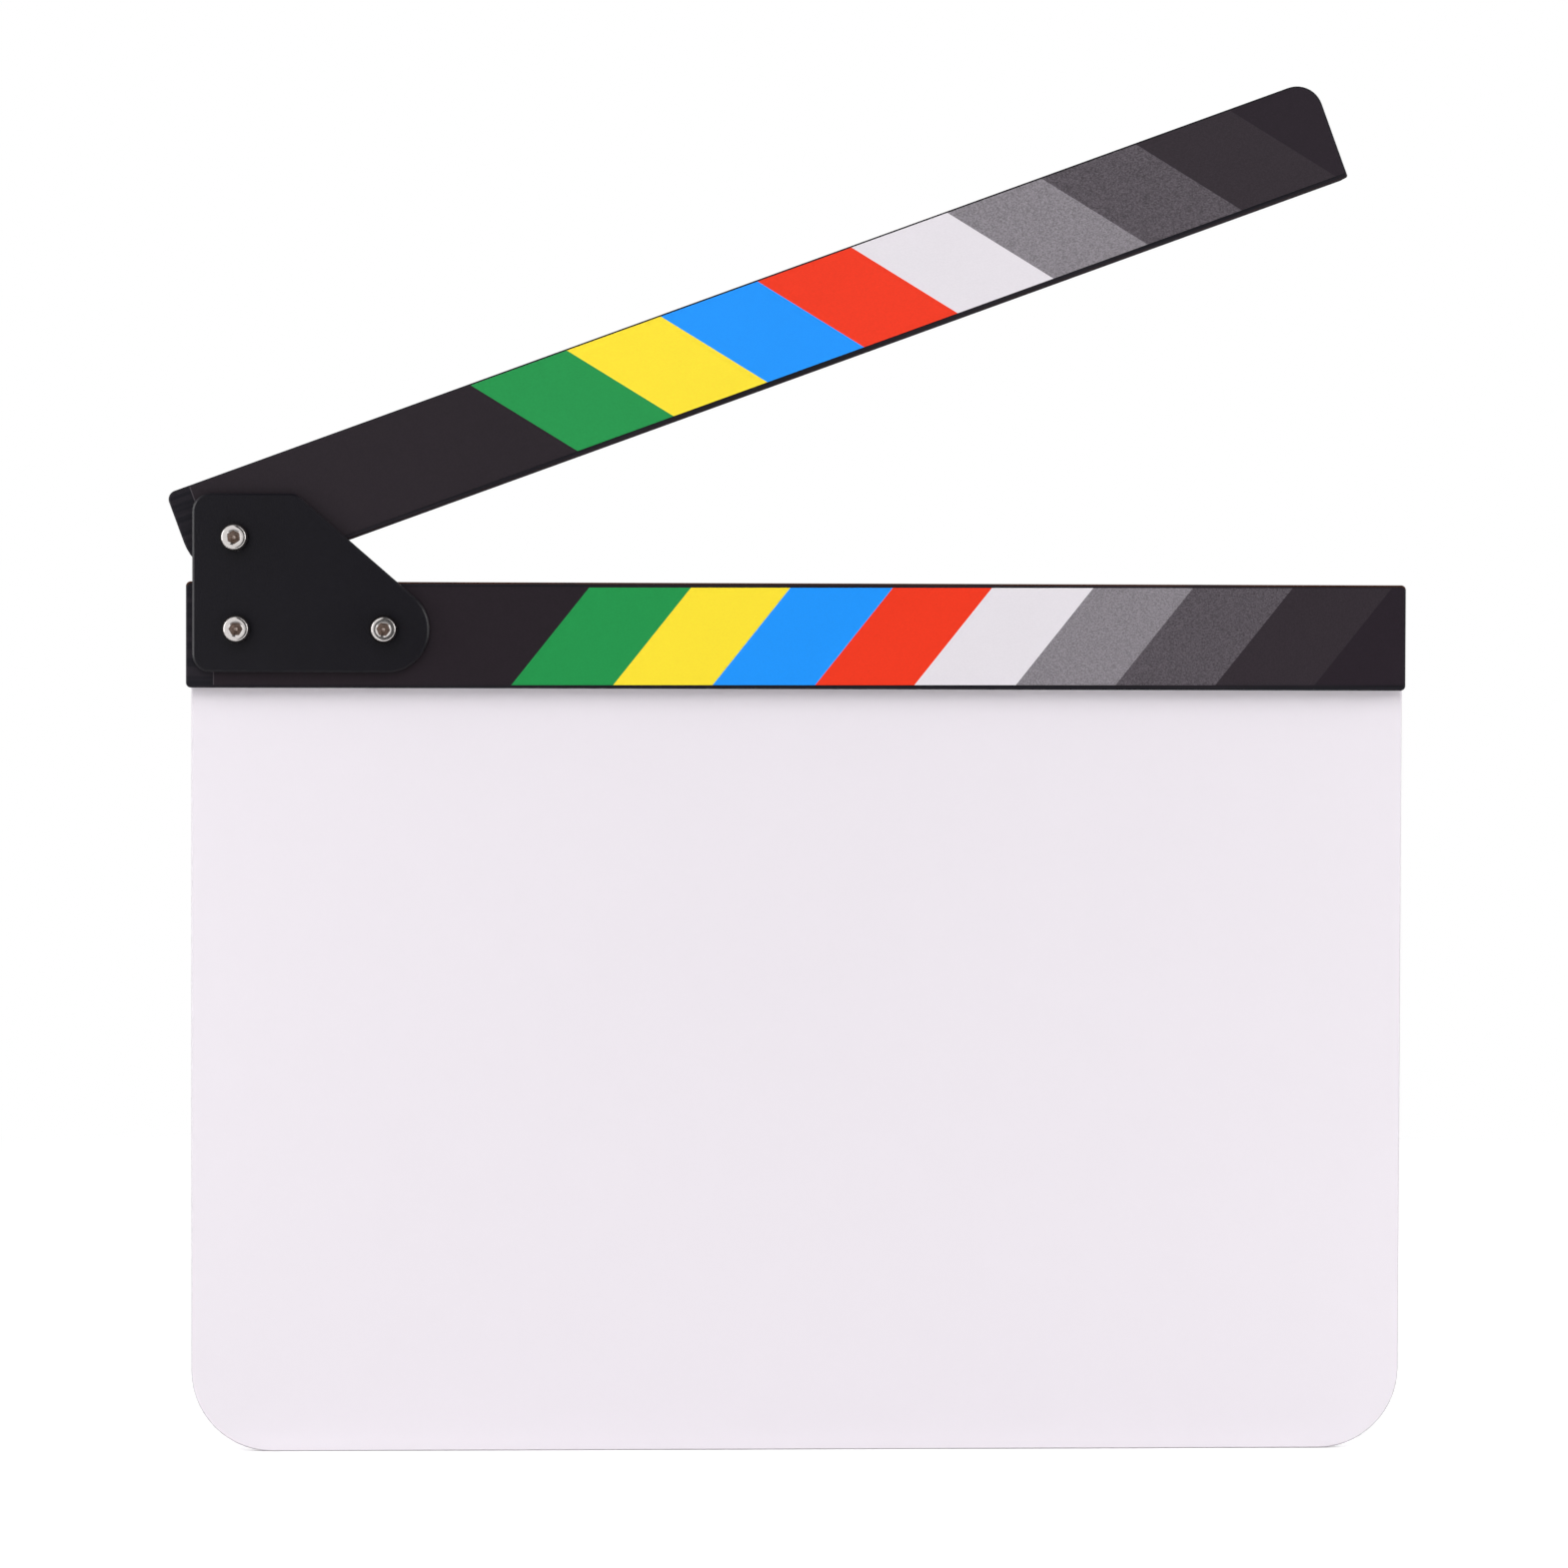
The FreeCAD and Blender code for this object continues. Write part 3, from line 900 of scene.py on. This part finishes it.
def stage_mesh(name, points, faces, material):
    """New piece of the studio, which is no part of the object."""
    piece = mesh_piece(name, points, faces, material)
    return piece


def floor():
    """Pale floor that keeps the board's shadow and goes to white away from it."""
    pale = {"base_color": floor_grey, "emission_color": full_white, "roughness": floor_roughness}
    material, tree, shader = finish("pale floor", specular_ior_level=0.0, **pale)
    seen = seen_directly(tree)
    tree.links.new(maths(tree, "MULTIPLY", seen, floor_lift), shader.inputs["Emission Strength"])
    far = remapped(tree, distance(tree, own_place(tree)), floor_white_from, floor_white_to)
    white = add(tree, "Emission", {"Strength": 1.0}).outputs["Emission"]
    blend = add(tree, "MixShader", {0: overlap(tree, seen, far), 1: shader.outputs["BSDF"], 2: white})
    tree.links.new(blend.outputs["Shader"], tree.nodes["Material Output"].inputs["Surface"])
    corners = [(x * floor_reach, y * floor_reach, 0) for x, y in ((-1, -1), (1, -1), (1, 1), (-1, 1))]
    stage_mesh("floor", corners, [(0, 1, 2, 3)], material)


def dark_card(name, line, left, right, glow):
    """Dark strip along a line in Y and Z, which only reflections see."""
    dark = {"base_color": full_black, "emission_color": full_white, "emission_strength": glow}
    material = finish(name, roughness=1.0, specular_ior_level=0.0, **dark)[0]
    points = [(x, y, z) for y, z in line for x in (left, right)]
    faces = [(i, i + 1, i + 3, i + 2) for i in range(0, len(points) - 2, 2)]
    strip = stage_mesh(name, points, faces, material)
    strip.visible_camera = False
    strip.visible_diffuse = False
    strip.visible_transmission = False
    strip.visible_shadow = False


def studio_world():
    """White all round for what is seen, and an even soft light for what is lit."""
    world = bpy.data.worlds.new("studio")
    world.use_nodes = True
    tree = world.node_tree
    strength = remapped(tree, seen_directly(tree), 0.0, 1.0, to_start=ambient_light)
    tree.nodes["Background"].inputs["Color"].default_value = full_white
    tree.links.new(strength, tree.nodes["Background"].inputs["Strength"])
    bpy.context.scene.world = world


def studio():
    """Light and surroundings of the photograph."""
    studio_world()
    floor()
    for card in dark_cards:
        dark_card(*card)
    for box in soft_boxes:
        soft_box(*box)


def photo_camera():
    """Camera that sees the board as the photograph does."""
    data = bpy.data.cameras.new("camera")
    data.sensor_width = camera_sensor
    data.lens = camera_lens
    camera = bpy.data.objects.new("camera", data)
    camera.location = camera_place
    camera.rotation_euler = (math.pi / 2 + camera_pitch, camera_roll, -camera_yaw)
    bpy.context.scene.collection.objects.link(camera)
    bpy.context.scene.camera = camera


dress_pieces()
studio()
photo_camera()
bpy.context.scene.view_settings.view_transform = "Standard"
